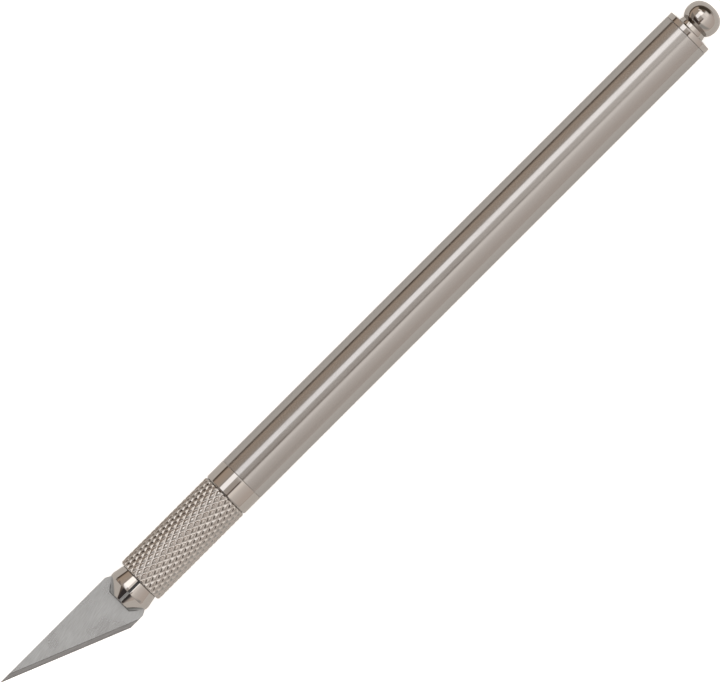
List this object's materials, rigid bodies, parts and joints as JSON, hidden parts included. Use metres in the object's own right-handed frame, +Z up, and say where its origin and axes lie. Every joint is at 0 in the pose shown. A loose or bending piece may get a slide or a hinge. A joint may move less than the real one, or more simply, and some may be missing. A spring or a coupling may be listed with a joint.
{
  "type": "craft knife",
  "caption": "Slim metal craft knife: a pointed blade in a slit screw-down collet, a diamond-knurled sleeve, a plain tube handle and a screwed plug with a ball end.",
  "frame": {"origin": "on the knife's axis, at the barrel's front end, where it meets the collar", "axes": "+X along the axis to the ball end, -X to the blade's tip; +Y to the blade's spine; +Z up, square to the blade's flat"},
  "size_m": [0.1492, 0.0082, 0.008],
  "materials": {
    "satin_tube": "satin, very fine turning lines",
    "knurled_metal": "satin, shallow diamond knurl",
    "polished_nickel": "polished nickel plate",
    "blade_steel": "fine-ground steel"
  },
  "bodies": {
    "handle": {"barrel": "satin_tube", "front_collar": "polished_nickel"},
    "chuck_sleeve": {"knurled_sleeve": "knurled_metal"},
    "collet": {"collet_body": "polished_nickel"},
    "jaw_upper_spine": {"jaw_upper_spine": "polished_nickel"},
    "jaw_upper_edge": {"jaw_upper_edge": "polished_nickel"},
    "jaw_lower_spine": {"jaw_lower_spine": "polished_nickel"},
    "jaw_lower_edge": {"jaw_lower_edge": "polished_nickel"},
    "blade": {"blade": "blade_steel"},
    "rear_plug": {"rear_plug": "polished_nickel"}
  },
  "joints": [
    {"name": "chuck_turn", "type": "hinge", "parent": "handle", "child": "chuck_sleeve", "pos_m": [0, 0, 0], "axis": [-1, 0, 0], "range_deg": [0, 810]},
    {"name": "collet_advance", "type": "slide", "parent": "chuck_sleeve", "child": "collet", "axis": [-1, 0, 0], "range_m": [0, 0.00158]},
    {"name": "blade_slide", "type": "slide", "parent": "collet", "child": "blade", "axis": [-1, 0, 0], "range_m": [0, 0.02]},
    {"name": "plug_withdraw", "type": "slide", "parent": "handle", "child": "rear_plug", "axis": [1, 0, 0], "range_m": [0, 0.012]},
    {"name": "jaw_upper_spine_flex", "type": "hinge", "parent": "collet", "child": "jaw_upper_spine", "pos_m": [-0.01, 0.00134, 0.00134], "axis": [0, 0.7071, -0.7071], "range_deg": [0, 1.1]},
    {"name": "jaw_upper_edge_flex", "type": "hinge", "parent": "collet", "child": "jaw_upper_edge", "pos_m": [-0.01, -0.00134, 0.00134], "axis": [0, 0.7071, 0.7071], "range_deg": [0, 1.1]},
    {"name": "jaw_lower_spine_flex", "type": "hinge", "parent": "collet", "child": "jaw_lower_spine", "pos_m": [-0.01, 0.00134, -0.00134], "axis": [0, -0.7071, -0.7071], "range_deg": [0, 1.1]},
    {"name": "jaw_lower_edge_flex", "type": "hinge", "parent": "collet", "child": "jaw_lower_edge", "pos_m": [-0.01, -0.00134, -0.00134], "axis": [0, -0.7071, 0.7071], "range_deg": [0, 1.1]}
  ],
  "couplings": [
    {"joint": "chuck_turn", "follows": "collet_advance", "rad_per_m": 8975.9},
    {"joint": "jaw_upper_spine_flex", "follows": "collet_advance", "rad_per_m": 12.189},
    {"joint": "jaw_upper_edge_flex", "follows": "collet_advance", "rad_per_m": 12.189},
    {"joint": "jaw_lower_spine_flex", "follows": "collet_advance", "rad_per_m": 12.189},
    {"joint": "jaw_lower_edge_flex", "follows": "collet_advance", "rad_per_m": 12.189}
  ]
}
